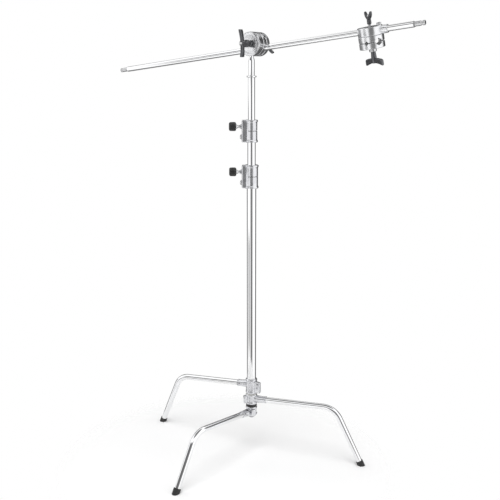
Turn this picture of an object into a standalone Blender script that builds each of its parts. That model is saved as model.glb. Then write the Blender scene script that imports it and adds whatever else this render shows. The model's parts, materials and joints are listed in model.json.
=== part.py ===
"""C-stand: a folding three-leg steel base, two telescoping risers, two grip heads and a grip arm.

Metres, +Z up. The origin is at floor level, under the centre of the whole stand's bounding box.
X runs along the grip arm as seen from above, and the mast stands at MAST_X, MAST_Y.
"""

import math

import bmesh
import bpy
from mathutils import Matrix, Vector

# ---------------------------------------------------------------- driving dimensions (metres)
GAP = 0.0003                      # clearance left between touching pieces

MAST_X = 0.0131                   # mast axis, measured from the origin
MAST_Y = 0.1684

LEG_RADIUS = 0.011                # leg tube, outside
LEG_WALL = 0.0015
LEG_START = 0.030                 # where a leg begins inside its hub socket, from the mast axis
LEG_BEND = 0.070                  # radius of a leg's elbow, at the tube's centre
FOOT_REACH = 0.438                # foot centre from the mast axis
FOOT_HEIGHT = 0.010               # leg tube's end above the floor
CAP_RADIUS = 0.0135
CAP_HEIGHT = 0.020

# name, azimuth in degrees, height at the hub, elbow distance from the mast, elbow height
LEGS = (
    ("leg_1", 181.8, 0.262, 0.345, 0.225),
    ("leg_2", 265.9, 0.1545, 0.330, 0.190),
    ("leg_3", 13.2, 0.206, 0.335, 0.216),
)
KNOB_AZIMUTH = 213.0              # the side the collar knobs stand on

POST_RADIUS = 0.010               # post that the two lower hubs turn on
POST_BOTTOM = 0.134
HUB_RADIUS = 0.0225
HUB_SOFTEN = 0.003                # corner taken off a hub's top and bottom
SOCKET_RADIUS = 0.0148
SOCKET_TAPER = 0.0012
SOCKET_REACH = 0.062
LUG_ROOT = 0.004                  # a clamp lug, from the mast axis
LUG_HALF_WIDTH = 0.0075
LUG_HEIGHT_SHARE = 0.36           # half the lug's height, as a share of the hub's
SLOT_HALF = 0.0008
UPPER_HUB = (0.2290, 0.2900)      # lowest and highest points
MIDDLE_HUB = (0.1840, 0.2260)
LOWER_HUB = (0.1370, 0.1750)
UPPER_LUG = (352.0, 0.043)        # azimuth in degrees and reach from the mast axis
MIDDLE_LUG = (232.0, 0.032)
LOWER_LUG = (318.0, 0.032)
HUB_SCREW_RADIUS = 0.0042
HUB_SCREW_RISE = 0.0038
THRUST_RADIUS = 0.0215            # the washers between the hubs
THRUST_SOFTEN = 0.0010
BOTTOM_WASHER_RADIUS = 0.0150
BOTTOM_WASHER_HEIGHT = 0.0015
BASE_BOLT_RADIUS = 0.0065
BASE_BOLT_HEIGHT = 0.0072

LOWER_TUBE_RADIUS = 0.0175
MIDDLE_TUBE_RADIUS = 0.0150
TOP_TUBE_RADIUS = 0.0125
TUBE_WALL = 0.0013
LOWER_TUBE = (0.2420, 1.0720)
MIDDLE_TUBE = (0.3050, 1.2350)
TOP_TUBE = (0.3520, 1.4360)
LOWER_COLLAR = (1.0380, 1.1240)
UPPER_COLLAR = (1.2060, 1.2870)
LOWER_COLLAR_RADIUS = 0.0245
UPPER_COLLAR_RADIUS = 0.0215
UPPER_SEAT = 0.034                # where the middle tube ends inside the upper collar
COLLAR_RIM = 0.0018
COLLAR_LUG_REACH = 0.036
COLLAR_LUG_HALF = 0.0120
BOSS_RADIUS = 0.0105              # boss round the knob's screw
BOSS_TIP = 0.0080
BOSS_RISE = 0.0050
KNOB_LEVEL = 0.70                 # heights in a collar, as a share of its length
BOLT_LEVEL = 0.24
SLIT_HALF = 0.0009
SLIT_END = 0.0130
BUSH_WALL = 0.0016
WINDOW_RADIUS = 0.0052
KNOB_SCREW_RADIUS = 0.0040
KNOB_START = 0.0560
KNOB_LENGTH = 0.0260
KNOB_RADIUS = 0.0148
KNOB_FLUTE = 0.0014
KNOB_LOBES = 6
KNOB_SAMPLES = 24
GUIDE_PLUG = 0.020                # a riser's guide: how far it goes in, and how long its flange is
GUIDE_FLANGE = 0.022
GUIDE_WALL = 0.0030

STUD_RADIUS = 0.0080              # 16 mm stud, on the spigot and on both ends of the arm
SHOULDER_RADIUS = 0.0110
FLANGE_RADIUS = 0.0175
FLANGE_Z = 1.4362
SHOULDER_TOP = 1.4960
SPIGOT_RISE = 0.036               # stud's end above the head's centre
SPIGOT_PLUG = 0.040               # length inside the top tube

HEAD_Z = 1.5520                   # centre of the mast's grip head
HEAD_RADIUS = 0.0420
BASE_HALF = 0.0140                # half the thickness of a head's base
JAW_THICKNESS = 0.0195
JAW_GAP = 0.0020
BOLT_RADIUS = 0.0040
BOLT_FOOT = 0.0012                # bolt's inner end beyond the cross bore
GROOVE_OFFSET = 0.0162            # from a head's bolt to the middle of the wide jaw groove
NARROW_OFFSET = 0.0230            # and of the narrow one, on the other side
NARROW_HALF = 0.0050
POCKET_RADIUS = 0.0062            # the jaws' pocket for the spring
POCKET_HALF = 0.0060
SPRING_RADIUS = 0.0050            # at the wire's centre
SPRING_WIRE = 0.0005
SPRING_LENGTH = 0.0100
SPRING_TURNS = 3.5
SPRING_STEPS = 8                  # per turn
WASHER_LENGTH = 0.0110
STEM_RADIUS = 0.0078
SCREW_RADIUS = 0.0050             # lock screw
LOCK_STAND_OFF = 0.0080           # lock handle's hub from the base
ARM_BOSS_RADIUS = 0.0137          # boss round the arm on the second head's base
ARM_BOSS_ROOT = 0.0300
ARM_BOSS_REACH = 0.0620
RETAINING_AT = 0.0325
RETAINING_RADIUS = 0.0075
RETAINING_HEIGHT = 0.0090
# Handle bars: half length, half width, half depth along the axis, sweep of the ends, stem length
TEE = (0.0465, 0.0045, 0.0105, 0.0070, 0.0180)
WING = (0.0340, 0.0050, 0.0065, 0.0160, 0.0270)
BLADE = (0.0300, 0.0050, 0.0065, 0.0160, 0.0040)
# The hub of a lock handle: radius, length, radius of the neck after it, corner taken off
LOCK_HUBS = {TEE: (0.0130, 0.0180, 0.0085, 0.0025), BLADE: (0.0072, 0.0080, 0.0068, 0.0008)}
LOCK_EXTRA_STEM = 0.0080           # a lock handle's stem is this much longer than a clamp handle's
ARM_RADIUS = 0.0100
ARM_WALL = 0.0015
ARM_TILT = 6.4                    # degrees, +X end up
ARM_LEFT = 0.6580                 # arm's ends, from the mast along the arm
ARM_RIGHT = 0.6280
STUD_LENGTH = 0.0380
HEAD_2_AT = 0.4400                # second head, along the arm
HEAD_2_TURN = 10.0                # degrees it is turned about the arm, lower end towards +Y
HEAD_2_GROOVES = 123.0            # azimuth its jaw grooves run along

SIDES = 20                        # sides of the larger turned pieces
FINE_SIDES = 12                   # sides of the smaller ones
LEG_SIDES = 16                    # sides of the leg sockets, the cross bores and the arm

PARTS = "c_stand"
CUTTERS = "c_stand_cutters"

UP = Vector((0.0, 0.0, 1.0))
TILT = math.radians(ARM_TILT)
ARM_DIRECTION = Vector((math.cos(TILT), 0.0, math.sin(TILT)))
ARM_UNDER = Vector((math.sin(TILT), 0.0, -math.cos(TILT)))
BACK = Vector((0.0, 1.0, 0.0))
TURN = math.radians(HEAD_2_TURN)
HEAD_2_UNDER = ARM_UNDER * math.cos(TURN) + BACK * math.sin(TURN)
MAST = Vector((MAST_X, MAST_Y, 0.0))
ARM_PLANE = BASE_HALF + GAP + JAW_THICKNESS + JAW_GAP / 2   # arm's axis behind the mast's
JAW_START = BASE_HALF + GAP
OUTER_START = JAW_START + JAW_THICKNESS + JAW_GAP
HEAD_END = OUTER_START + JAW_THICKNESS


# ---------------------------------------------------------------- scene and materials
def clear_scene():
    for old in list(bpy.data.objects):
        bpy.data.objects.remove(old, do_unlink=True)


def new_collection(name):
    group = bpy.data.collections.new(name)
    bpy.context.scene.collection.children.link(group)
    return group


def new_material(name, colour, roughness, metallic):
    material = bpy.data.materials.new(name)
    material.use_nodes = True
    shader = material.node_tree.nodes["Principled BSDF"]
    shader.inputs["Base Color"].default_value = (*colour, 1.0)
    shader.inputs["Roughness"].default_value = roughness
    shader.inputs["Metallic"].default_value = metallic
    material.diffuse_color = (*colour, 1.0)
    return material


clear_scene()
parts = new_collection(PARTS)
cutters = new_collection(CUTTERS)

CHROME = ("chrome", (0.80, 0.81, 0.83), 0.08, 1.0)
SILVER = ("silver_casting", (0.66, 0.67, 0.69), 0.38, 0.9)
ALUMINIUM = ("machined_aluminium", (0.74, 0.75, 0.77), 0.25, 1.0)
GUNMETAL = ("gunmetal", (0.10, 0.105, 0.115), 0.42, 0.9)
STEEL = ("screw_steel", (0.35, 0.36, 0.38), 0.30, 1.0)
BLACK_PLASTIC = ("black_plastic", (0.025, 0.025, 0.028), 0.50, 0.0)
RUBBER = ("foot_rubber", (0.03, 0.03, 0.03), 0.80, 0.0)
NYLON = ("nylon", (0.75, 0.75, 0.72), 0.50, 0.0)


def place(piece, finish, matrix):
    """Give a piece its own material and its place, and put it with the parts."""
    if piece.name not in parts.objects:
        parts.objects.link(piece)
    label, colour, roughness, metallic = finish
    piece.data.materials.clear()
    piece.data.materials.append(new_material(f"{piece.name}_{label}", colour, roughness, metallic))
    piece.matrix_world = matrix
    return piece


def frame(origin, x_axis, z_axis):
    """A placement whose own X and Z lie along the two directions given."""
    z = Vector(z_axis).normalized()
    x = (Vector(x_axis) - z * Vector(x_axis).dot(z)).normalized()
    y = z.cross(x)
    rows = Matrix((x, y, z)).transposed().to_4x4()
    return Matrix.Translation(origin) @ rows


def about_mast(azimuth, height=0.0):
    """A placement on the mast axis whose X points at the azimuth given."""
    angle = math.radians(azimuth)
    return Matrix.Translation(MAST + UP * height) @ Matrix.Rotation(angle, 4, "Z")


# ---------------------------------------------------------------- shapes
def turned(name, profile, finish, matrix, sides=SIDES, closed=False):
    """A turned piece from (radius, height) points that run down its outer side."""
    mesh = bpy.data.meshes.new(name)
    points = [(radius, 0.0, height) for radius, height in profile]
    edges = [(i, i + 1) for i in range(len(points) - 1)]
    if closed:
        edges.append((len(points) - 1, 0))
    mesh.from_pydata(points, edges, [])
    piece = bpy.data.objects.new(name, mesh)
    place(piece, finish, matrix)
    screw = piece.modifiers.new("turn", "SCREW")
    screw.steps = sides
    screw.render_steps = sides
    screw.use_merge_vertices = True
    screw.merge_threshold = 0.00005
    screw.use_smooth_shade = True
    return piece


def tube_profile(outer, inner, low, high):
    return [(outer, high), (outer, low), (inner, low), (inner, high)]


def rod_profile(radius, low, high, chamfer):
    return [(0.0, high), (radius - chamfer, high), (radius, high - chamfer),
            (radius, low + chamfer), (radius - chamfer, low), (0.0, low)]


def cutter_from(mesh_filler, name):
    """An object for a Boolean: hidden, wire, and kept with the cutters."""
    mesh = bpy.data.meshes.new(name)
    body = bmesh.new()
    mesh_filler(body)
    body.to_mesh(mesh)
    body.free()
    cutter = bpy.data.objects.new(name, mesh)
    cutters.objects.link(cutter)
    cutter.hide_render = True
    cutter.display_type = "WIRE"
    return cutter


def rod_cutter(name, radius, low, high, matrix, sides=FINE_SIDES, tip=None):
    """A cylinder, or a cone when tip is given, along the placement's Z."""
    middle = matrix @ Matrix.Translation((0.0, 0.0, (low + high) / 2))

    def fill(body):
        bmesh.ops.create_cone(body, cap_ends=True, segments=sides, radius1=radius,
                              radius2=radius if tip is None else tip, depth=high - low)
    cutter = cutter_from(fill, name)
    cutter.matrix_world = middle
    return cutter


def box_cutter(name, low, high, matrix):
    """A box between two corners, in the placement's own axes."""
    size = Vector(high) - Vector(low)
    middle = (Vector(high) + Vector(low)) / 2

    def fill(body):
        bmesh.ops.create_cube(body, size=1.0)
        bmesh.ops.scale(body, vec=size, verts=body.verts)
    cutter = cutter_from(fill, name)
    cutter.matrix_world = matrix @ Matrix.Translation(middle)
    return cutter


def combine(piece, tool, operation):
    modifier = piece.modifiers.new(tool.name, "BOOLEAN")
    modifier.operation = operation
    modifier.object = tool
    modifier.solver = "EXACT"
    return piece


def cut(piece, tool):
    return combine(piece, tool, "DIFFERENCE")


def join(piece, tool):
    return combine(piece, tool, "UNION")


def round_edges(piece, width, segments=2):
    bevel = piece.modifiers.new("round", "BEVEL")
    bevel.width = width
    bevel.segments = segments
    bevel.limit_method = "ANGLE"
    bevel.angle_limit = math.radians(40)
    return piece


# ---------------------------------------------------------------- base
def leg_path(start_height, elbow_reach, elbow_height):
    """Centre line of a leg in its own upright plane: out, round the elbow, down to the foot."""
    start = Vector((LEG_START, start_height))
    elbow = Vector((elbow_reach, elbow_height))
    foot = Vector((FOOT_REACH, FOOT_HEIGHT))
    out = (elbow - start).normalized()
    down = (foot - elbow).normalized()
    turn = math.acos(max(-1.0, min(1.0, out.dot(down))))
    setback = LEG_BEND * math.tan(turn / 2)
    bend_start = elbow - out * setback
    centre = bend_start + Vector((out.y, -out.x)) * LEG_BEND
    points = [start, start.lerp(bend_start, 0.5)]
    steps = 5
    arm = bend_start - centre
    for i in range(steps + 1):
        angle = -turn * i / steps
        points.append(centre + Vector((
            arm.x * math.cos(angle) - arm.y * math.sin(angle),
            arm.x * math.sin(angle) + arm.y * math.cos(angle))))
    points.append(foot)
    return points, out, down


def make_leg(name, azimuth, start_height, elbow_reach, elbow_height):
    """A bent hollow tube and its rubber foot cap."""
    points, _, down = leg_path(start_height, elbow_reach, elbow_height)
    data = bpy.data.curves.new(name + "_line", "CURVE")
    data.dimensions = "3D"
    data.bevel_depth = LEG_RADIUS
    data.bevel_resolution = 3
    data.use_fill_caps = False
    spline = data.splines.new("POLY")
    spline.points.add(len(points) - 1)
    for point, place_2d in zip(spline.points, points):
        point.co = (place_2d.x, 0.0, place_2d.y, 1.0)
    line = bpy.data.objects.new(name + "_line", data)
    parts.objects.link(line)
    bpy.context.view_layer.update()
    evaluated = line.evaluated_get(bpy.context.evaluated_depsgraph_get())
    mesh = bpy.data.meshes.new_from_object(evaluated)
    mesh.name = name
    bpy.data.objects.remove(line, do_unlink=True)
    leg = bpy.data.objects.new(name, mesh)
    place(leg, CHROME, about_mast(azimuth))
    wall = leg.modifiers.new("wall", "SOLIDIFY")
    wall.thickness = LEG_WALL
    wall.offset = -1.0

    # The cap is a cup along the leg's end, cut level with the floor.
    along = Vector((down.x, 0.0, down.y))
    seat = about_mast(azimuth) @ frame((FOOT_REACH, 0.0, FOOT_HEIGHT), (0.0, 1.0, 0.0), -along)
    inner = LEG_RADIUS + GAP
    cap_name = name.replace("leg", "foot_cap")
    cap = turned(cap_name, [(inner, CAP_HEIGHT), (CAP_RADIUS - 0.001, CAP_HEIGHT),
                            (CAP_RADIUS, CAP_HEIGHT - 0.001), (CAP_RADIUS, -0.025), (0.0, -0.025),
                            (0.0, -GAP), (inner, -GAP)], RUBBER, seat, LEG_SIDES, closed=True)
    floor = box_cutter(cap_name + "_floor", (0.3, -0.1, -0.1), (0.6, 0.1, 0.0), about_mast(azimuth))
    cut(cap, floor)


def make_hub(name, levels, leg, lug_place, tube_socket=None):
    """A cast hub: round body, leg socket and a clamp lug."""
    _, azimuth, start_height, elbow_reach, elbow_height = leg
    low, high = levels
    hub = turned(name, rod_profile(HUB_RADIUS, low, high, HUB_SOFTEN), SILVER, about_mast(azimuth))
    _, out, _ = leg_path(start_height, elbow_reach, elbow_height)
    direction = Vector((out.x, 0.0, out.y))
    root = about_mast(azimuth) @ frame(
        (LEG_START, 0.0, start_height), (0.0, 1.0, 0.0), direction)
    socket = rod_cutter(name + "_socket", SOCKET_RADIUS, -LEG_START + 0.012,
                        SOCKET_REACH - LEG_START, root, LEG_SIDES,
                        SOCKET_RADIUS - SOCKET_TAPER)
    join(hub, socket)
    lug_azimuth, lug_reach = lug_place
    lug_frame = about_mast(lug_azimuth)
    middle = (low + high) / 2
    half_height = (high - low) * LUG_HEIGHT_SHARE
    lug = box_cutter(name + "_lug", (LUG_ROOT, -LUG_HALF_WIDTH, middle - half_height),
                     (lug_reach, LUG_HALF_WIDTH, middle + half_height), lug_frame)
    join(hub, lug)
    cut(hub, rod_cutter(name + "_bore", POST_RADIUS + GAP, low - 0.01, high + 0.01,
                        about_mast(azimuth), LEG_SIDES))
    if tube_socket is not None:
        cut(hub, rod_cutter(name + "_tube_bore", LOWER_TUBE_RADIUS + GAP, tube_socket - GAP,
                            high + 0.01, about_mast(azimuth), SIDES))
        slot = box_cutter(name + "_slot", (LOWER_TUBE_RADIUS - 0.004, -SLOT_HALF, tube_socket),
                          (lug_reach + 0.002, SLOT_HALF, high + 0.002), lug_frame)
        cut(hub, slot)
    cut(hub, rod_cutter(name + "_leg_bore", LEG_RADIUS + GAP, -GAP, SOCKET_REACH,
                        root, LEG_SIDES))


def make_hub_screw(name, leg):
    """A cross pin with a domed head that holds a leg in its hub socket."""
    _, azimuth, start_height, elbow_reach, elbow_height = leg
    _, out, _ = leg_path(start_height, elbow_reach, elbow_height)
    side = about_mast(azimuth) @ frame(
        (SOCKET_REACH - 0.010, 0.0, start_height + out.y * 0.02), (1.0, 0.0, 0.0), (0.0, 1.0, 0.0))
    start = SOCKET_RADIUS + SOCKET_TAPER + GAP
    turned(name, [(0.0, start + HUB_SCREW_RISE), (0.0025, start + 0.0032), (0.0038, start + 0.0018),
                  (HUB_SCREW_RADIUS, start), (0.0, start)], STEEL, side, FINE_SIDES)


def make_base():
    for leg in LEGS:
        make_leg(*leg)
    leg_1, leg_2, leg_3 = LEGS
    tube_seat = LOWER_TUBE[0]
    make_hub("upper_hub", UPPER_HUB, leg_1, UPPER_LUG, tube_seat)
    make_hub("middle_hub", MIDDLE_HUB, leg_3, MIDDLE_LUG)
    make_hub("lower_hub", LOWER_HUB, leg_2, LOWER_LUG)

    mast = about_mast(0.0)
    turned("base_post", rod_profile(POST_RADIUS, POST_BOTTOM, tube_seat - 2 * GAP, 0.001),
           STEEL, mast, LEG_SIDES)
    for name, finish, low, high in (
            ("upper_thrust_washer", NYLON, MIDDLE_HUB[1] + GAP, UPPER_HUB[0] - GAP),
            ("lower_thrust_washer", BLACK_PLASTIC, LOWER_HUB[1] + GAP, MIDDLE_HUB[0] - GAP)):
        height = high - low
        edge = THRUST_RADIUS - THRUST_SOFTEN
        turned(name, [(edge, high), (THRUST_RADIUS, high - height / 3),
                      (THRUST_RADIUS, low + height / 3), (edge, low), (POST_RADIUS + GAP, low),
                      (POST_RADIUS + GAP, high)], finish, mast, SIDES, closed=True)
    washer_top = POST_BOTTOM - GAP
    washer_foot = washer_top - BOTTOM_WASHER_HEIGHT
    turned("bottom_washer", [(0.0, washer_top), (BOTTOM_WASHER_RADIUS, washer_top),
                             (BOTTOM_WASHER_RADIUS, washer_foot), (0.0, washer_foot)],
           STEEL, mast, FINE_SIDES)
    bolt_top = washer_foot - GAP
    bolt_foot = bolt_top - BASE_BOLT_HEIGHT
    turned("base_bolt", [(0.0, bolt_top), (BASE_BOLT_RADIUS, bolt_top),
                         (BASE_BOLT_RADIUS, bolt_foot + 0.0017),
                         (BASE_BOLT_RADIUS - 0.0013, bolt_foot), (0.0, bolt_foot)],
           STEEL, mast, 6)
    for number, leg in enumerate(LEGS, 1):
        make_hub_screw(f"hub_screw_{number}", leg)


# ---------------------------------------------------------------- column
def make_collar(prefix, levels, radius, bore, lower_bore, seat):
    """A clamp collar: bored casting with a lug, its guide bush, knob, knob screw and bolt."""
    low, high = levels
    rim = COLLAR_RIM
    body = about_mast(KNOB_AZIMUTH)
    collar = turned(prefix + "_collar", [
        (0.0, high), (radius, high), (radius + rim, high - 0.002), (radius + rim, high - 0.006),
        (radius, high - 0.010), (radius, low + 0.010), (radius + rim * 0.8, low + 0.006),
        (radius + rim * 0.8, low + 0.002), (radius, low), (0.0, low)], SILVER, body)
    lug = box_cutter(prefix + "_lug", (0.005, -COLLAR_LUG_HALF, low + 0.0008),
                     (COLLAR_LUG_REACH, COLLAR_LUG_HALF, high - 0.0008), body)
    round_edges(lug, 0.004, 2)
    join(collar, lug)
    knob_z = low + (high - low) * KNOB_LEVEL
    across = body @ frame((0.0, 0.0, knob_z), (0.0, 0.0, 1.0), (1.0, 0.0, 0.0))
    boss = rod_cutter(prefix + "_boss", BOSS_RADIUS, 0.020, COLLAR_LUG_REACH + BOSS_RISE, across,
                      FINE_SIDES, BOSS_TIP)
    join(collar, boss)
    cut(collar, rod_cutter(prefix + "_tube_bore", lower_bore + GAP, low - 0.01, seat + GAP,
                           body, SIDES))
    cut(collar, rod_cutter(prefix + "_bush_bore", bore + BUSH_WALL + GAP, seat - 0.001, high + 0.01,
                           body, SIDES))
    cut(collar, rod_cutter(prefix + "_screw_bore", KNOB_SCREW_RADIUS + GAP, bore, 0.06,
                           across, FINE_SIDES))
    # A level saw cut across the side away from the knob, so that the upper half can grip.
    slit_z = (low + high) / 2 + 0.001
    cut(collar, box_cutter(prefix + "_slit", (-0.05, -0.05, slit_z - SLIT_HALF),
                           (SLIT_END, 0.05, slit_z + SLIT_HALF), body))

    # The bush has a window for the knob screw's tip.
    bush = turned(prefix + "_bush", tube_profile(bore + BUSH_WALL, bore + 0.0002, seat + GAP,
                                                 high - 0.0005), NYLON, body, closed=True)
    cut(bush, rod_cutter(prefix + "_window", WINDOW_RADIUS, 0.004, 0.05, across, FINE_SIDES))

    screw_start = bore + 2 * GAP
    shank = KNOB_SCREW_RADIUS
    turned(prefix + "_knob_screw", [
        (0.0, KNOB_START + 0.010), (shank, KNOB_START + 0.010), (shank, KNOB_START - 2 * GAP),
        (0.0085, KNOB_START - 2 * GAP), (0.0055, KNOB_START - 0.006), (0.0046, KNOB_START - 0.009),
        (0.0060, COLLAR_LUG_REACH + 0.0065), (shank, COLLAR_LUG_REACH + 0.0056),
        (shank, screw_start), (0.0, screw_start)], STEEL, across, FINE_SIDES)
    make_knob(prefix + "_knob", KNOB_START, across)

    bolt = body @ frame((COLLAR_LUG_REACH - 0.002, 0.0, low + (high - low) * BOLT_LEVEL),
                        (0.0, 0.0, 1.0), (1.0, 0.0, 0.0))
    start = 0.002 + GAP
    turned(prefix + "_collar_bolt", [
        (0.0, start + 0.0062), (0.0060, start + 0.0055), (0.0085, start + 0.0030),
        (0.0092, start), (0.0, start)], STEEL, bolt, FINE_SIDES)


def make_knob(name, start, across):
    """A lobed hand knob along the placement's Z, bored for its screw."""
    levels = ((0.0, 0.84), (0.003, 1.0), (KNOB_LENGTH - 0.0035, 0.98), (KNOB_LENGTH, 0.76))
    mesh = bpy.data.meshes.new(name)
    body = bmesh.new()
    rings = []
    for height, scale in levels:
        ring = []
        for i in range(KNOB_SAMPLES):
            angle = 2 * math.pi * i / KNOB_SAMPLES
            radius = (KNOB_RADIUS + KNOB_FLUTE * math.cos(KNOB_LOBES * angle)) * scale
            ring.append(body.verts.new((radius * math.cos(angle), radius * math.sin(angle),
                                        start + height)))
        rings.append(ring)
    for low_ring, high_ring in zip(rings, rings[1:]):
        for i in range(KNOB_SAMPLES):
            j = (i + 1) % KNOB_SAMPLES
            body.faces.new((low_ring[i], low_ring[j], high_ring[j], high_ring[i]))
    body.faces.new(list(reversed(rings[0])))
    body.faces.new(rings[-1])
    body.to_mesh(mesh)
    body.free()
    knob = bpy.data.objects.new(name, mesh)
    place(knob, BLACK_PLASTIC, across)
    cut(knob, rod_cutter(name + "_bore", KNOB_SCREW_RADIUS + GAP, start - 0.01, start + 0.0105,
                         across, FINE_SIDES))


def make_column():
    mast = about_mast(0.0)
    for name, radius, levels in (("lower_tube", LOWER_TUBE_RADIUS, LOWER_TUBE),
                                 ("middle_riser", MIDDLE_TUBE_RADIUS, MIDDLE_TUBE),
                                 ("top_riser", TOP_TUBE_RADIUS, TOP_TUBE)):
        turned(name, tube_profile(radius, radius - TUBE_WALL, *levels), CHROME, mast, closed=True)
    make_collar("lower", LOWER_COLLAR, LOWER_COLLAR_RADIUS, MIDDLE_TUBE_RADIUS,
                LOWER_TUBE_RADIUS, LOWER_TUBE[1])
    make_collar("upper", UPPER_COLLAR, UPPER_COLLAR_RADIUS, TOP_TUBE_RADIUS,
                MIDDLE_TUBE_RADIUS, UPPER_COLLAR[0] + UPPER_SEAT)
    # Plugs at the risers' lower ends keep them central in the tube outside them.
    for name, outer, inner, foot in (
            ("middle_riser_guide", LOWER_TUBE_RADIUS, MIDDLE_TUBE_RADIUS, MIDDLE_TUBE[0]),
            ("top_riser_guide", MIDDLE_TUBE_RADIUS, TOP_TUBE_RADIUS, TOP_TUBE[0])):
        flange = outer - TUBE_WALL - GAP
        plug = inner - TUBE_WALL - GAP
        bore = plug - GUIDE_WALL
        turned(name, [(plug, foot + GUIDE_PLUG), (plug, foot - GAP), (flange, foot - GAP),
                      (flange, foot - GUIDE_FLANGE), (bore, foot - GUIDE_FLANGE),
                      (bore, foot + GUIDE_PLUG)],
               NYLON, mast, closed=True)
    top = HEAD_Z + SPIGOT_RISE
    inside = TOP_TUBE_RADIUS - TUBE_WALL - GAP
    turned("spigot", [
        (0.0, top), (STUD_RADIUS - 0.001, top), (STUD_RADIUS, top - 0.001),
        (STUD_RADIUS, SHOULDER_TOP + 0.010), (SHOULDER_RADIUS, SHOULDER_TOP),
        (SHOULDER_RADIUS, FLANGE_Z + 0.0065), (FLANGE_RADIUS - 0.001, FLANGE_Z + 0.0060),
        (FLANGE_RADIUS, FLANGE_Z + 0.0050), (FLANGE_RADIUS, FLANGE_Z + 0.0015),
        (FLANGE_RADIUS - 0.001, FLANGE_Z + 0.0005), (inside, FLANGE_Z + 0.0003),
        (inside, FLANGE_Z - SPIGOT_PLUG), (0.0, FLANGE_Z - SPIGOT_PLUG)], CHROME, mast)


# ---------------------------------------------------------------- grip heads
def make_jaw(name, near, far, matrix):
    """A jaw plate with a wide and a narrow groove on its seam face."""
    chamfer = 0.0012
    jaw = turned(name, rod_profile(HEAD_RADIUS, near, far, chamfer), ALUMINIUM, matrix)
    for label, offset, sides, inside in (("wide", GROOVE_OFFSET, 6, ARM_RADIUS + GAP),
                                         ("narrow", -NARROW_OFFSET, 4, NARROW_HALF)):
        corner = inside / math.cos(math.pi / sides)
        lie = matrix @ frame((0.0, offset, ARM_PLANE), (0.0, 0.0, 1.0), (1.0, 0.0, 0.0))
        cut(jaw, rod_cutter(f"{name}_{label}", corner, -0.06, 0.06, lie, sides))
    cut(jaw, rod_cutter(name + "_bore", BOLT_RADIUS + GAP, near - 0.01, far + 0.01, matrix,
                        FINE_SIDES))
    cut(jaw, rod_cutter(name + "_pocket", POCKET_RADIUS, ARM_PLANE - POCKET_HALF,
                        ARM_PLANE + POCKET_HALF, matrix, FINE_SIDES))


def make_spring(name, matrix):
    """A short compression spring round the bolt, in the pockets of the two jaws."""
    data = bpy.data.curves.new(name, "CURVE")
    data.dimensions = "3D"
    data.bevel_depth = SPRING_WIRE
    data.bevel_resolution = 1
    data.use_fill_caps = True
    spline = data.splines.new("POLY")
    last = int(SPRING_TURNS * SPRING_STEPS)
    spline.points.add(last)
    for i, point in enumerate(spline.points):
        angle = 2 * math.pi * i / SPRING_STEPS
        height = ARM_PLANE - SPRING_LENGTH / 2 + SPRING_LENGTH * i / last
        point.co = (SPRING_RADIUS * math.cos(angle), SPRING_RADIUS * math.sin(angle), height, 1.0)
    place(bpy.data.objects.new(name, data), STEEL, matrix)


def handle_bar(name, middle, way, shape, matrix):
    """A bar across the placement's Z, its ends swept along Z the way given."""
    half_length, half_width, half_depth, sweep, _ = shape
    stations = 6

    def fill(body):
        rings = []
        for i in range(stations + 1):
            along = -1.0 + 2.0 * i / stations
            height = middle + way * sweep * along * along
            ring = [body.verts.new((along * half_length, side * half_width,
                                    height + lift * half_depth))
                    for side, lift in ((-1, -1), (1, -1), (1, 1), (-1, 1))]
            rings.append(ring)
        for ring, after in zip(rings, rings[1:]):
            for k in range(4):
                m = (k + 1) % 4
                body.faces.new((ring[k], after[k], after[m], ring[m]))
        body.faces.new(rings[0])
        body.faces.new(list(reversed(rings[-1])))
        bmesh.ops.recalc_face_normals(body, faces=body.faces)
    cutter = cutter_from(fill, name)
    cutter.matrix_world = matrix
    return round_edges(cutter, 0.0018, 1)


def make_clamp_handle(prefix, stem, shape, turn, matrix):
    """The jaws' handle: a bored stem and a bar. Returns where the bolt ends inside it."""
    _, _, half_depth, _, stem_length = shape
    bar_middle = stem + stem_length + half_depth
    end = bar_middle + half_depth - 0.001
    handle = turned(prefix + "_clamp_handle", [
        (0.0, end), (STEM_RADIUS - 0.0010, end - 0.001), (STEM_RADIUS + 0.0007, bar_middle),
        (STEM_RADIUS + 0.0012, stem + stem_length - 0.002), (STEM_RADIUS, stem + 0.002),
        (STEM_RADIUS, stem), (0.0, stem)], GUNMETAL, matrix, FINE_SIDES)
    join(handle, handle_bar(prefix + "_clamp_bar", bar_middle, 1.0, shape,
                            matrix @ Matrix.Rotation(turn, 4, "Z")))
    bolt_end = stem + stem_length + 0.004
    cut(handle, rod_cutter(prefix + "_handle_bore", BOLT_RADIUS + GAP, stem - 0.01,
                           bolt_end + 0.003, matrix, FINE_SIDES))
    return bolt_end


def make_lock_handle(prefix, shape, turn, matrix):
    """The base's handle: a hub and a bar, on a screw. Returns where its bar is."""
    _, _, half_depth, _, stem_length = shape
    start = -BASE_HALF - LOCK_STAND_OFF
    bar_middle = start - stem_length - LOCK_EXTRA_STEM - half_depth
    end = bar_middle - half_depth + 0.001
    thick, hub_length, neck, corner = LOCK_HUBS[shape]
    lock = turned(prefix + "_lock_handle", [
        (0.0, start), (thick - corner, start), (thick, start - 0.002),
        (thick, start - hub_length), (neck, start - hub_length - 0.004), (neck, bar_middle),
        (neck - 0.0005, end), (0.0, end)], GUNMETAL, matrix, FINE_SIDES)
    join(lock, handle_bar(prefix + "_lock_bar", bar_middle, -1.0, shape,
                          matrix @ Matrix.Rotation(turn, 4, "Z")))
    cut(lock, rod_cutter(prefix + "_lock_handle_bore", SCREW_RADIUS + GAP, end - 0.01,
                         start + 0.01, matrix, FINE_SIDES))
    return end


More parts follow.
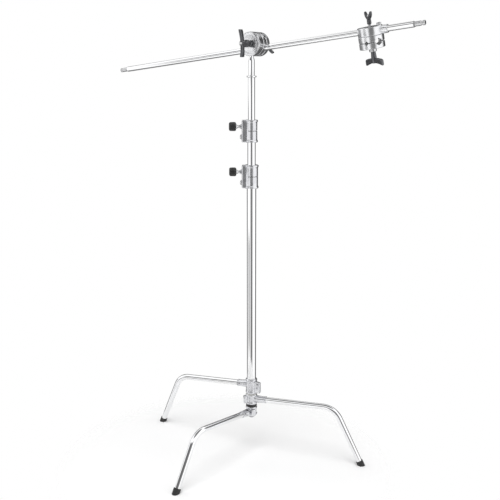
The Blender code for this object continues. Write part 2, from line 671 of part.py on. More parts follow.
def make_head(prefix, base_matrix, jaw_matrix, bore_radius, lock_shape, clamp_shape, boss):
    """A grip head round its own Z, with its base's cross bore along the base's own X.

    Each shape comes with the angle its bar is turned to.
    """
    chamfer = 0.0015
    base = turned(prefix + "_base", rod_profile(HEAD_RADIUS, -BASE_HALF, BASE_HALF, chamfer),
                  ALUMINIUM, base_matrix)
    cross = base_matrix @ frame((0.0, 0.0, 0.0), (0.0, 0.0, 1.0), (1.0, 0.0, 0.0))
    if boss:
        join(base, rod_cutter(prefix + "_boss", ARM_BOSS_RADIUS, ARM_BOSS_ROOT, ARM_BOSS_REACH,
                              cross, LEG_SIDES))
    cut(base, rod_cutter(prefix + "_cross_bore", bore_radius, -0.07, 0.07, cross, LEG_SIDES))
    cut(base, rod_cutter(prefix + "_lock_bore", SCREW_RADIUS + GAP, -BASE_HALF - 0.01,
                         -bore_radius + 0.006, base_matrix, FINE_SIDES))
    bolt_foot = bore_radius + BOLT_FOOT
    cut(base, rod_cutter(prefix + "_bolt_bore", BOLT_RADIUS + GAP, bolt_foot - GAP,
                         BASE_HALF + 0.01, base_matrix, FINE_SIDES))

    make_jaw(prefix + "_inner_jaw", JAW_START, JAW_START + JAW_THICKNESS, jaw_matrix)
    make_jaw(prefix + "_outer_jaw", OUTER_START, HEAD_END, jaw_matrix)
    make_spring(prefix + "_spring", jaw_matrix)

    start = HEAD_END + GAP
    end = start + WASHER_LENGTH
    hole = BOLT_RADIUS + GAP
    turned(prefix + "_clamp_washer", [
        (0.0110, end), (0.0125, end - 0.0015), (0.0125, start + 0.003), (0.0140, start + 0.001),
        (0.0140, start), (hole, start), (hole, end)], STEEL, jaw_matrix, FINE_SIDES, closed=True)
    bolt_end = make_clamp_handle(prefix, end + GAP, *clamp_shape, jaw_matrix)
    turned(prefix + "_bolt", rod_profile(BOLT_RADIUS, bolt_foot, bolt_end, 0.0006),
           STEEL, base_matrix, FINE_SIDES)

    # The lock screw reaches through the base to the stud or the arm in the cross bore.
    held = STUD_RADIUS if bore_radius < ARM_RADIUS else ARM_RADIUS
    handle_end = make_lock_handle(prefix, *lock_shape, base_matrix)
    turned(prefix + "_lock_screw", rod_profile(SCREW_RADIUS, handle_end - 0.007, -held - 2 * GAP,
                                               0.0006), STEEL, base_matrix, FINE_SIDES)
    if boss:
        small = base_matrix @ Matrix.Translation((RETAINING_AT, 0.0, -BASE_HALF - GAP))
        turned(prefix + "_retaining_screw", [
            (0.0, 0.0), (RETAINING_RADIUS, 0.0), (RETAINING_RADIUS, 0.0015 - RETAINING_HEIGHT),
            (RETAINING_RADIUS - 0.0015, -RETAINING_HEIGHT), (0.0, -RETAINING_HEIGHT)],
            STEEL, small, FINE_SIDES)


def make_heads():
    head_1 = MAST + UP * HEAD_Z
    make_head("head1", frame(head_1, UP, BACK), frame(head_1, ARM_DIRECTION, BACK),
              STUD_RADIUS + GAP, (TEE, 0.0), (WING, math.radians(65.0)), False)
    head_2 = arm_point(HEAD_2_AT)
    grooves = math.radians(HEAD_2_GROOVES)
    along = Vector((math.cos(grooves), math.sin(grooves), 0.0))
    make_head("head2", frame(head_2, ARM_DIRECTION, HEAD_2_UNDER),
              frame(head_2, along, HEAD_2_UNDER), ARM_RADIUS + GAP,
              (BLADE, math.radians(50.0)), (TEE, math.radians(-25.0)), True)


# ---------------------------------------------------------------- arm
def arm_point(along):
    """A point on the arm's axis, measured along it from beside the mast's head."""
    beside = MAST + UP * HEAD_Z + BACK * ARM_PLANE + ARM_UNDER * GROOVE_OFFSET
    return beside + ARM_DIRECTION * along


def make_arm():
    lie = frame(arm_point(0.0), BACK, ARM_DIRECTION)
    low = -ARM_LEFT + STUD_LENGTH
    high = ARM_RIGHT - STUD_LENGTH
    turned("arm_tube", tube_profile(ARM_RADIUS, ARM_RADIUS - ARM_WALL, low, high),
           CHROME, lie, LEG_SIDES, closed=True)
    plug = ARM_RADIUS - ARM_WALL - GAP
    for name, end, direction in (("arm_stud_left", low, -1.0), ("arm_stud_right", high, 1.0)):
        seat = frame(arm_point(end), BACK, ARM_DIRECTION * direction)
        tip = STUD_LENGTH
        turned(name, [
            (0.0, tip), (STUD_RADIUS - 0.0015, tip), (STUD_RADIUS, tip - 0.0015),
            (STUD_RADIUS, tip - 0.0070), (STUD_RADIUS - 0.002, tip - 0.0085),
            (STUD_RADIUS - 0.002, tip - 0.0125), (STUD_RADIUS, tip - 0.0140),
            (STUD_RADIUS, 0.0050), (ARM_RADIUS - 0.0005, GAP), (plug, GAP), (plug, -0.0300),
            (0.0, -0.0300)], STEEL, seat, LEG_SIDES)


make_base()
make_column()
make_heads()
make_arm()
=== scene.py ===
"""The looks of the C-stand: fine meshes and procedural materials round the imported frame."""

import json
import math

import bmesh
import bpy
from mathutils import Matrix, Vector


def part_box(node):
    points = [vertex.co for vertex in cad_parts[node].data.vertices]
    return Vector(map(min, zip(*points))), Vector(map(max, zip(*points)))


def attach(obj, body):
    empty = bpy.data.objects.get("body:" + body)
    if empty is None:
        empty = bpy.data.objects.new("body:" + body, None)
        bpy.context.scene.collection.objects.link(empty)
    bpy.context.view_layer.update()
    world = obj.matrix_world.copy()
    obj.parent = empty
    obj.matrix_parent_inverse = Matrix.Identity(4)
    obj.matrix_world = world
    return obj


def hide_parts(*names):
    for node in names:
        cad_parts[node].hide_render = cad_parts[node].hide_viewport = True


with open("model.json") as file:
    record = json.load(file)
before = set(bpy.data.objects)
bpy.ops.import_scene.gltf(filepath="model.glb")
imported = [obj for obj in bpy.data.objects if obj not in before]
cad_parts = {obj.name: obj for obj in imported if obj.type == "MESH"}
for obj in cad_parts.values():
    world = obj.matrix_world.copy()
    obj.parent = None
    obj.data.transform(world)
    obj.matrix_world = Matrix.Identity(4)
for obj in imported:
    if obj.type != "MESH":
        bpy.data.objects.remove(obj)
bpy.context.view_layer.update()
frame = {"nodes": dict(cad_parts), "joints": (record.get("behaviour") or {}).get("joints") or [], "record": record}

# ---------------------------------------------------------------- sizes, in metres
GAP = 0.0003
SIDES = 96
SMALL_SIDES = 48
SMOOTH_ANGLE = 32.0

LEG_RADIUS = 0.011
LEG_WALL = 0.0015
LEG_START = 0.030
LEG_BEND = 0.070
FOOT_REACH = 0.438
FOOT_HEIGHT = 0.010
CAP_RADIUS = 0.0135
CAP_HEIGHT = 0.0065
CAP_FOOT = 0.025                  # how far a cap runs past its tube before the floor cuts it
# name, azimuth in degrees, height at the hub, elbow distance from the mast, elbow height
LEGS = (
    ("leg_1", 181.8, 0.262, 0.345, 0.225),
    ("leg_2", 265.9, 0.1545, 0.330, 0.190),
    ("leg_3", 13.2, 0.206, 0.335, 0.216),
)
UPPER_HUB_CASTING = (0.2290, 0.2900)      # its lowest and highest levels
# azimuth in degrees, reach from the mast axis
LUGS = {"upper_hub": (352.0, 0.043), "middle_hub": (232.0, 0.032), "lower_hub": (318.0, 0.032)}

POST_RADIUS = 0.010
HUB_RADIUS = 0.0225
SOCKET_RADIUS = 0.0148
SOCKET_REACH = 0.062
HUB_LUG_HALF = 0.0075
HUB_SLOT_HALF = 0.0008
LOWER_TUBE_RADIUS = 0.0175
MIDDLE_TUBE_RADIUS = 0.0150
TOP_TUBE_RADIUS = 0.0125
TUBE_WALL = 0.0013
LOWER_COLLAR_RADIUS = 0.0245
UPPER_COLLAR_RADIUS = 0.0215
COLLAR_RIM = 0.0018
COLLAR_LUG_REACH = 0.036
COLLAR_LUG_HALF = 0.012
COLLAR_SLIT_HALF = 0.0012
BUSH_WALL = 0.0016
KNOB_START = 0.0560               # where a knob's grip begins, from the mast axis
KNOB_STEM_RADIUS = 0.0040
KNOB_SIDES = 144
STUD_RADIUS = 0.0080
STUD_LENGTH = 0.0380
SPIGOT_PLUG = 0.040               # the length of spigot inside the top riser
SPIGOT_SHOULDER = 0.056           # how far under the head's axis the spigot's neck ends
SPIGOT_NECK_RADIUS = 0.0110
SPIGOT_FLANGE_RADIUS = 0.0175
HEAD_RADIUS = 0.0420
BASE_HALF = 0.0140
JAW_THICKNESS = 0.0195
JAW_GAP = 0.0020
BOLT_RADIUS = 0.0040
GROOVE_OFFSET = 0.0162
NARROW_OFFSET = 0.0230
NARROW_HALF = 0.0050
SPRING_POCKET = (0.0062, 0.006)   # radius, and depth into each jaw
CLAMP_WASHER_HEIGHT = 0.011
BOSS = (0.0137, 0.0300, 0.0620)   # the radius of head 2's boss, and where it starts and ends
RETAINING_SCREW_AT = 0.0325
THREAD_PITCH = 0.0015
THREAD_DEPTH = 0.0006
ARM_RADIUS = 0.0100
ARM_WALL = 0.0015
STEM_RADIUS = 0.0078
SCREW_RADIUS = 0.0050
LOCK_STAND_OFF = 0.0080
# Handle bars: half length, half width, half depth along the axis, sweep of the ends, stem length
TEE = (0.0465, 0.0045, 0.0105, 0.0070, 0.0180)
WING = (0.0340, 0.0050, 0.0065, 0.0160, 0.0270)
BLADE = (0.0300, 0.0050, 0.0065, 0.0160, 0.0040)
# The hub of a lock handle: radius, length, radius of the neck after it, corner taken off
LOCK_HUBS = {TEE: (0.0130, 0.0180, 0.0085, 0.0025), BLADE: (0.0072, 0.0080, 0.0068, 0.0008)}
LOCK_EXTRA_STEM = 0.0080
HEAD_2_GROOVES = 123.0            # azimuth the second head's jaw grooves run along

# ---------------------------------------------------------------- places, read from the frame
joints = {joint["name"]: joint for joint in frame["joints"]}
node_body = {node: body for body, nodes in frame["record"]["behaviour"]["bodies"].items()
             for node in nodes}
node_slot = {row["node"]: row["material_slot"] for row in frame["record"]["subparts"]}

UP = Vector((0.0, 0.0, 1.0))
BACK = Vector((0.0, 1.0, 0.0))
HEAD_1 = Vector(joints["head1_tilt"]["pos_m"])
HEAD_2 = Vector(joints["head2_turn"]["pos_m"])
MAST = Vector((HEAD_1.x, HEAD_1.y, 0.0))
HEAD_Z = HEAD_1.z
ARM_DIRECTION = Vector(joints["arm_slide"]["axis"]).normalized()
ARM_UNDER = BACK.cross(ARM_DIRECTION)
HEAD_2_UNDER = Vector(joints["head2_jaw_open"]["axis"]).normalized()
KNOB_AXIS = Vector(joints["lower_knob_turn"]["axis"])
KNOB_AZIMUTH = math.degrees(math.atan2(KNOB_AXIS.y, KNOB_AXIS.x))
ARM_PLANE = BASE_HALF + GAP + JAW_THICKNESS + JAW_GAP / 2
JAW_START = BASE_HALF + GAP
OUTER_START = JAW_START + JAW_THICKNESS + JAW_GAP
HEAD_END = OUTER_START + JAW_THICKNESS


def levels(node):
    """A node's lowest and highest height at rest."""
    low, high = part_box(node)
    return low[2], high[2]


# ---------------------------------------------------------------- materials
def link(tree, source, target):
    tree.links.new(source, target)


def new_shader(name, roughness, metallic):
    material = bpy.data.materials.new(name)
    material.use_nodes = True
    tree = material.node_tree
    shader = tree.nodes["Principled BSDF"]
    shader.inputs["Roughness"].default_value = roughness
    shader.inputs["Metallic"].default_value = metallic
    return material, tree, shader


def noise(tree, scale, detail=4.0, stretch=(1.0, 1.0, 1.0)):
    """A noise texture in the object's own coordinates, with its output."""
    where = tree.nodes.new("ShaderNodeTexCoord")
    mapping = tree.nodes.new("ShaderNodeMapping")
    mapping.inputs["Scale"].default_value = stretch
    texture = tree.nodes.new("ShaderNodeTexNoise")
    texture.inputs["Scale"].default_value = scale
    texture.inputs["Detail"].default_value = detail
    link(tree, where.outputs["Object"], mapping.inputs["Vector"])
    link(tree, mapping.outputs["Vector"], texture.inputs["Vector"])
    return texture.outputs["Fac"]


def ramp(tree, source, stops):
    """A colour ramp through (position, colour) stops."""
    node = tree.nodes.new("ShaderNodeValToRGB")
    elements = node.color_ramp.elements
    for element, (position, colour) in zip(elements, stops[:2]):
        element.position = position
        element.color = (*colour, 1.0)
    for position, colour in stops[2:]:
        elements.new(position).color = (*colour, 1.0)
    link(tree, source, node.inputs["Fac"])
    return node.outputs["Color"]


def grey(value):
    return (value, value, value)


def spread(tree, source, low, high):
    node = tree.nodes.new("ShaderNodeMapRange")
    node.inputs["To Min"].default_value = low
    node.inputs["To Max"].default_value = high
    link(tree, source, node.inputs["Value"])
    return node.outputs["Result"]


def bump(tree, shader, source, strength, distance):
    node = tree.nodes.new("ShaderNodeBump")
    node.inputs["Strength"].default_value = strength
    node.inputs["Distance"].default_value = distance
    link(tree, source, node.inputs["Height"])
    link(tree, node.outputs["Normal"], shader.inputs["Normal"])


def rings(tree, pitch):
    """Concentric turning marks round the object's own Z axis."""
    where = tree.nodes.new("ShaderNodeTexCoord")
    apart = tree.nodes.new("ShaderNodeSeparateXYZ")
    join_xy = tree.nodes.new("ShaderNodeCombineXYZ")
    length = tree.nodes.new("ShaderNodeVectorMath")
    length.operation = "LENGTH"
    add = tree.nodes.new("ShaderNodeMath")
    add.operation = "ADD"
    scale = tree.nodes.new("ShaderNodeMath")
    scale.operation = "MULTIPLY"
    scale.inputs[1].default_value = 2.0 * math.pi / pitch
    wave = tree.nodes.new("ShaderNodeMath")
    wave.operation = "SINE"
    link(tree, where.outputs["Object"], apart.inputs["Vector"])
    link(tree, apart.outputs["X"], join_xy.inputs["X"])
    link(tree, apart.outputs["Y"], join_xy.inputs["Y"])
    link(tree, join_xy.outputs["Vector"], length.inputs[0])
    link(tree, length.outputs["Value"], add.inputs[0])
    link(tree, apart.outputs["Z"], add.inputs[1])
    link(tree, add.outputs["Value"], scale.inputs[0])
    link(tree, scale.outputs["Value"], wave.inputs[0])
    return wave.outputs["Value"]


def chrome_tube():
    material, tree, shader = new_shader("chrome_tube", 0.06, 1.0)
    smudge = noise(tree, 9.0, 5.0, (1.0, 1.0, 0.35))
    link(tree, ramp(tree, smudge, [(0.35, grey(0.82)), (0.65, (0.88, 0.885, 0.90))]),
         shader.inputs["Base Color"])
    link(tree, spread(tree, smudge, 0.02, 0.09), shader.inputs["Roughness"])
    bump(tree, shader, noise(tree, 900.0, 2.0, (1.0, 1.0, 0.05)), 0.03, 0.0002)
    return material


def silver_casting():
    material, tree, shader = new_shader("silver_casting", 0.28, 0.95)
    patches = noise(tree, 60.0, 6.0)
    link(tree, ramp(tree, patches, [(0.3, (0.62, 0.625, 0.65)), (0.7, (0.74, 0.745, 0.765))]),
         shader.inputs["Base Color"])
    link(tree, spread(tree, patches, 0.14, 0.30), shader.inputs["Roughness"])
    bump(tree, shader, noise(tree, 1400.0, 3.0), 0.10, 0.0002)
    return material


def machined_aluminium():
    material, tree, shader = new_shader("machined_aluminium", 0.2, 1.0)
    marks = rings(tree, 0.0011)
    tint = noise(tree, 45.0, 4.0)
    link(tree, ramp(tree, tint, [(0.3, (0.74, 0.745, 0.76)), (0.7, (0.83, 0.835, 0.85))]),
         shader.inputs["Base Color"])
    link(tree, spread(tree, tint, 0.14, 0.26), shader.inputs["Roughness"])
    bump(tree, shader, marks, 0.12, 0.0002)
    return material


def gunmetal():
    material, tree, shader = new_shader("gunmetal", 0.30, 0.9)
    cast = noise(tree, 120.0, 5.0)
    link(tree, ramp(tree, cast, [(0.3, (0.105, 0.106, 0.113)), (0.7, (0.155, 0.157, 0.165))]),
         shader.inputs["Base Color"])
    link(tree, spread(tree, cast, 0.24, 0.38), shader.inputs["Roughness"])
    bump(tree, shader, noise(tree, 1500.0, 3.0), 0.18, 0.0002)
    return material


def screw_steel():
    material, tree, shader = new_shader("screw_steel", 0.2, 1.0)
    marks = noise(tree, 220.0, 3.0, (1.0, 1.0, 6.0))
    link(tree, ramp(tree, marks, [(0.3, grey(0.52)), (0.7, (0.66, 0.665, 0.68))]),
         shader.inputs["Base Color"])
    link(tree, spread(tree, marks, 0.12, 0.30), shader.inputs["Roughness"])
    bump(tree, shader, marks, 0.08, 0.0002)
    return material


def moulded(name, dark, light, roughness, grain, depth):
    material, tree, shader = new_shader(name, roughness, 0.0)
    mottled = noise(tree, 90.0, 4.0)
    link(tree, ramp(tree, mottled, [(0.3, dark), (0.7, light)]), shader.inputs["Base Color"])
    link(tree, spread(tree, mottled, roughness - 0.08, roughness + 0.08), shader.inputs["Roughness"])
    bump(tree, shader, noise(tree, grain, 3.0), depth, 0.0003)
    return material


MATERIALS = {
    "chrome_tube": chrome_tube(),
    "silver_casting": silver_casting(),
    "machined_aluminium": machined_aluminium(),
    "gunmetal": gunmetal(),
    "screw_steel": screw_steel(),
    "black_plastic": moulded("black_plastic", grey(0.012), grey(0.028), 0.42, 1100.0, 0.25),
    "foot_rubber": moulded("foot_rubber", grey(0.016), grey(0.034), 0.72, 800.0, 0.35),
    "nylon": moulded("nylon", (0.68, 0.68, 0.64), (0.78, 0.78, 0.75), 0.45, 700.0, 0.15),
}

TURNED_SLOTS = ("chrome_tube", "machined_aluminium")    # their marks follow the piece's own axis


# ---------------------------------------------------------------- mesh tools
def placement(origin, x_axis, z_axis):
    z = Vector(z_axis).normalized()
    x = (Vector(x_axis) - z * Vector(x_axis).dot(z)).normalized()
    rows = Matrix((x, z.cross(x), z)).transposed().to_4x4()
    return Matrix.Translation(origin) @ rows


def about_mast(azimuth, height=0.0):
    return Matrix.Translation(MAST + UP * height) @ Matrix.Rotation(math.radians(azimuth), 4, "Z")


def new_object(name, body, matrix):
    """An object from a bmesh, shaded smooth with sharp edges kept."""
    bmesh.ops.remove_doubles(body, verts=body.verts, dist=1e-6)
    bmesh.ops.recalc_face_normals(body, faces=body.faces)
    mesh = bpy.data.meshes.new(name)
    body.to_mesh(mesh)
    body.free()
    piece = bpy.data.objects.new(name, mesh)
    bpy.context.scene.collection.objects.link(piece)
    piece.matrix_world = matrix
    shade(piece)
    return piece


def shade(piece, angle=SMOOTH_ANGLE):
    piece.data.shade_smooth()
    piece.data.set_sharp_from_angle(angle=math.radians(angle))


def filleted(profile, radius, steps=4, closed=False):
    """The profile with its corners rounded, as far as their sides allow."""
    points = [Vector(point) for point in profile]
    count = len(points)
    result = []
    for i, corner in enumerate(points):
        if corner.x < 1e-7 or not closed and i in (0, count - 1):
            result.append(corner)
            continue
        before = points[i - 1] - corner
        after = points[(i + 1) % count] - corner
        if before.length < 1e-7 or after.length < 1e-7:
            result.append(corner)
            continue
        angle = before.angle(after)
        if angle > math.radians(172):
            result.append(corner)
            continue
        reach = min(radius, before.length * 0.48, after.length * 0.48)
        start = corner + before.normalized() * reach
        end = corner + after.normalized() * reach
        for k in range(steps + 1):
            t = k / steps
            result.append(start * (1 - t) ** 2 + corner * 2 * t * (1 - t) + end * t * t)
    return result


def lathe(name, profile, matrix, sides=SIDES, fillet=0.0006, closed=False, wobble=None):
    """A turned mesh from (radius, height) points; wobble scales the radius by angle and height."""
    points = filleted(profile, fillet, closed=closed) if fillet else [Vector(p) for p in profile]
    body = bmesh.new()
    columns = []
    for i in range(sides):
        angle = 2 * math.pi * i / sides
        column = []
        for radius, height in points:
            grow = wobble(angle, height) if wobble else 1.0
            column.append(body.verts.new((radius * grow * math.cos(angle),
                                          radius * grow * math.sin(angle), height)))
        columns.append(column)
    last = len(points) if closed else len(points) - 1
    for i in range(sides):
        here, there = columns[i], columns[(i + 1) % sides]
        for k in range(last):
            m = (k + 1) % len(points)
            if points[k].x < 1e-7 and points[m].x < 1e-7:
                continue
            corners = [here[k], here[m], there[m], there[k]]
            if points[k].x < 1e-7:
                corners.pop(3)
            elif points[m].x < 1e-7:
                corners.pop(2)
            body.faces.new(corners)
    return new_object(name, body, matrix)


def rod(name, radius, low, high, matrix, sides=SMALL_SIDES, tip=None, fillet=0.0):
    top = radius if tip is None else tip
    return lathe(name, [(0.0, high), (top, high), (radius, low), (0.0, low)], matrix, sides, fillet)


def box(name, low, high, matrix, radius=0.0, segments=4):
    body = bmesh.new()
    bmesh.ops.create_cube(body, size=1.0)
    bmesh.ops.scale(body, vec=Vector(high) - Vector(low), verts=body.verts)
    bmesh.ops.translate(body, vec=(Vector(high) + Vector(low)) / 2, verts=body.verts)
    if radius:
        bmesh.ops.bevel(body, geom=body.edges[:], offset=radius, segments=segments,
                        affect="EDGES", profile=0.5)
    return new_object(name, body, matrix)


def apply_modifiers(piece):
    """The piece with its modifiers worked into its mesh."""
    bpy.context.view_layer.update()
    graph = bpy.context.evaluated_depsgraph_get()
    mesh = bpy.data.meshes.new_from_object(piece.evaluated_get(graph))
    piece.modifiers.clear()
    piece.data = mesh
    shade(piece)
    return piece


def combine(piece, tools, operation):
    """A Boolean with several tools in turn; the tools are used up."""
    for tool in tools:
        modifier = piece.modifiers.new("combine", "BOOLEAN")
        modifier.operation = operation
        modifier.object = tool
        modifier.solver = "EXACT"
    apply_modifiers(piece)
    for tool in tools:
        bpy.data.objects.remove(tool, do_unlink=True)
    return piece


def cut(piece, *tools):
    return combine(piece, tools, "DIFFERENCE")


def join(piece, *tools):
    return combine(piece, tools, "UNION")


def finish_piece(piece, node, slot=None):
    """The piece stands for a CAD node: its body, its slot and its material."""
    slot = slot or node_slot[node]
    if slot not in TURNED_SLOTS:
        piece.data.transform(piece.matrix_world)
        piece.matrix_world = Matrix()
    piece.data.materials.clear()
    piece.data.materials.append(MATERIALS[slot])
    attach(piece, node_body[node])
    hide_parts(node)
    return piece


# ---------------------------------------------------------------- base
def leg_path(start_height, elbow_reach, elbow_height, steps=24):
    start = Vector((LEG_START, start_height))
    elbow = Vector((elbow_reach, elbow_height))
    foot = Vector((FOOT_REACH, FOOT_HEIGHT))
    out = (elbow - start).normalized()
    down = (foot - elbow).normalized()
    turn = math.acos(out.dot(down))
    bend_start = elbow - out * LEG_BEND * math.tan(turn / 2)
    centre = bend_start + Vector((out.y, -out.x)) * LEG_BEND
    spoke = bend_start - centre
    points = [start]
    for i in range(steps + 1):
        angle = -turn * i / steps
        points.append(centre + Vector((spoke.x * math.cos(angle) - spoke.y * math.sin(angle),
                                       spoke.x * math.sin(angle) + spoke.y * math.cos(angle))))
    points.append(foot)
    return points, out, down


def leg_mesh(name, points, matrix, sides=SMALL_SIDES):
    """A hollow tube along a path in the placement's XZ plane."""
    body = bmesh.new()
    shells = []
    for radius in (LEG_RADIUS, LEG_RADIUS - LEG_WALL):
        shell = []
        for i, point in enumerate(points):
            before = points[max(i - 1, 0)]
            after = points[min(i + 1, len(points) - 1)]
            along = (after - before).normalized()
            side = Vector((-along.y, along.x))
            ring = []
            for k in range(sides):
                angle = 2 * math.pi * k / sides
                lift = radius * math.sin(angle)
                ring.append(body.verts.new((point.x + side.x * lift, radius * math.cos(angle),
                                            point.y + side.y * lift)))
            shell.append(ring)
        shells.append(shell)
        for ring, after_ring in zip(shell, shell[1:]):
            for k in range(sides):
                m = (k + 1) % sides
                body.faces.new((ring[k], ring[m], after_ring[m], after_ring[k]))
    outer, inner = shells
    for end in (0, -1):
        for k in range(sides):
            m = (k + 1) % sides
            body.faces.new((outer[end][k], outer[end][m], inner[end][m], inner[end][k]))
    return new_object(name, body, matrix)


def make_leg(number, leg):
    name, azimuth, start_height, elbow_reach, elbow_height = leg
    points, _, down = leg_path(start_height, elbow_reach, elbow_height)
    finish_piece(leg_mesh(name + "_tube", points, about_mast(azimuth)), name)

    along = Vector((down.x, 0.0, down.y))
    seat = about_mast(azimuth) @ placement((FOOT_REACH, 0.0, FOOT_HEIGHT), (0.0, 1.0, 0.0), -along)
    inner = LEG_RADIUS + GAP
    lip = CAP_RADIUS - 0.0003
    cap = lathe(f"foot_cap_{number}_moulding", [
        (inner, CAP_HEIGHT), (lip, CAP_HEIGHT), (CAP_RADIUS, CAP_HEIGHT - 0.0015),
        (lip, CAP_HEIGHT - 0.0030), (lip, 0.0015), (CAP_RADIUS, 0.0), (CAP_RADIUS, -CAP_FOOT),
        (0.0, -CAP_FOOT), (0.0, -GAP), (inner, -GAP)], seat, SMALL_SIDES, 0.0005, closed=True)
    cut(cap, box("floor_cut", (0.3, -0.1, -0.1), (0.6, 0.1, 0.0), about_mast(azimuth)))
    finish_piece(cap, f"foot_cap_{number}")


def make_hub(name, leg, tube_radius=None):
    """A cast hub: round body, tapered leg socket with a bead, and a clamp lug."""
    _, azimuth, start_height, elbow_reach, elbow_height = leg
    low, high = levels(name)
    if name == "upper_hub":
        low, high = UPPER_HUB_CASTING
    body_frame = about_mast(azimuth)
    hub = lathe(name + "_casting", [
        (0.0, high), (HUB_RADIUS - 0.003, high), (HUB_RADIUS, high - 0.003),
        (HUB_RADIUS, high - 0.009), (HUB_RADIUS - 0.0014, high - 0.011),
        (HUB_RADIUS - 0.0014, low + 0.011), (HUB_RADIUS, low + 0.009), (HUB_RADIUS, low + 0.003),
        (HUB_RADIUS - 0.003, low), (0.0, low)], body_frame, SIDES, 0.0015)
    _, out, _ = leg_path(start_height, elbow_reach, elbow_height)
    root = body_frame @ placement((LEG_START, 0.0, start_height), (0.0, 1.0, 0.0),
                                  (out.x, 0.0, out.y))
    end = SOCKET_REACH - LEG_START
    narrow = SOCKET_RADIUS - 0.0022
    socket = lathe(name + "_socket", [
        (0.0, end), (narrow, end), (SOCKET_RADIUS - 0.0012, end - 0.0012),
        (SOCKET_RADIUS - 0.0012, end - 0.0050), (narrow, end - 0.0065), (narrow + 0.0004, 0.012),
        (SOCKET_RADIUS, -0.006), (SOCKET_RADIUS, -0.018), (0.0, -0.018)], root, SMALL_SIDES, 0.001)
    lug_azimuth, reach = LUGS[name]
    lug_frame = about_mast(lug_azimuth)
    middle = (low + high) / 2
    half = (high - low) * 0.36
    lug = box(name + "_lug", (0.004, -HUB_LUG_HALF, middle - half),
              (reach, HUB_LUG_HALF, middle + half), lug_frame, 0.0032, 5)
    join(hub, socket, lug)
    holes = [rod("post_hole", POST_RADIUS + GAP, low - 0.01, high + 0.01, body_frame),
             rod("leg_hole", LEG_RADIUS + GAP, -GAP, SOCKET_REACH, root)]
    if tube_radius:
        seat = levels("lower_tube")[0]
        holes.append(rod("tube_hole", tube_radius + GAP, seat - GAP, high + 0.01, body_frame,
                         SIDES))
        holes.append(box("slot", (tube_radius - 0.004, -HUB_SLOT_HALF, seat),
                         (0.045, HUB_SLOT_HALF, high + 0.002), lug_frame))
    across = lug_frame @ placement((reach - 0.0075, 0.0, middle), (0.0, 0.0, 1.0), (0.0, -1.0, 0.0))
    holes.append(rod("screw_seat", 0.0036, 0.0045, 0.0090, across))
    cut(hub, *holes)
    finish_piece(hub, name)


def make_hub_screw(number, leg):
    """A domed screw with a hexagon socket, in the side of a hub's leg socket."""
    _, azimuth, start_height, elbow_reach, elbow_height = leg
    _, out, _ = leg_path(start_height, elbow_reach, elbow_height)
    side = about_mast(azimuth) @ placement(
        (SOCKET_REACH - 0.010, 0.0, start_height + out.y * 0.02), (1.0, 0.0, 0.0), (0.0, 1.0, 0.0))
    start = SOCKET_RADIUS + GAP + 0.0012
    screw = lathe(f"hub_screw_{number}_head", [
        (0.0, start + 0.0038), (0.0025, start + 0.0032), (0.0038, start + 0.0018),
        (0.0042, start), (0.0, start)], side, SMALL_SIDES)
    cut(screw, rod("socket", 0.0017, start + 0.0014, start + 0.006, side, 6))
    finish_piece(screw, f"hub_screw_{number}")


def make_base():
    for number, leg in enumerate(LEGS, 1):
        make_leg(number, leg)
        make_hub_screw(number, leg)
    leg_1, leg_2, leg_3 = LEGS
    make_hub("upper_hub", leg_1, LOWER_TUBE_RADIUS)
    make_hub("middle_hub", leg_3)
    make_hub("lower_hub", leg_2)
    mast = about_mast(0.0)
    for name in ("upper_thrust_washer", "lower_thrust_washer"):
        low, high = levels(name)
        finish_piece(lathe(name + "_ring", [
            (0.0205, high), (0.0215, high - (high - low) / 3), (0.0215, low + (high - low) / 3),
            (0.0205, low), (POST_RADIUS + GAP, low), (POST_RADIUS + GAP, high)], mast,
            closed=True), name)
    low, high = levels("bottom_washer")
    finish_piece(lathe("bottom_washer_disc", [(0.0, high), (0.015, high), (0.015, low), (0.0, low)],
                       mast, SMALL_SIDES, 0.0004), "bottom_washer")
    low, high = levels("base_bolt")
    finish_piece(lathe("base_bolt_head", [
        (0.0, high), (0.0065, high), (0.0065, low + 0.0014), (0.0052, low), (0.0, low)],
        mast, 6, 0.0004), "base_bolt")


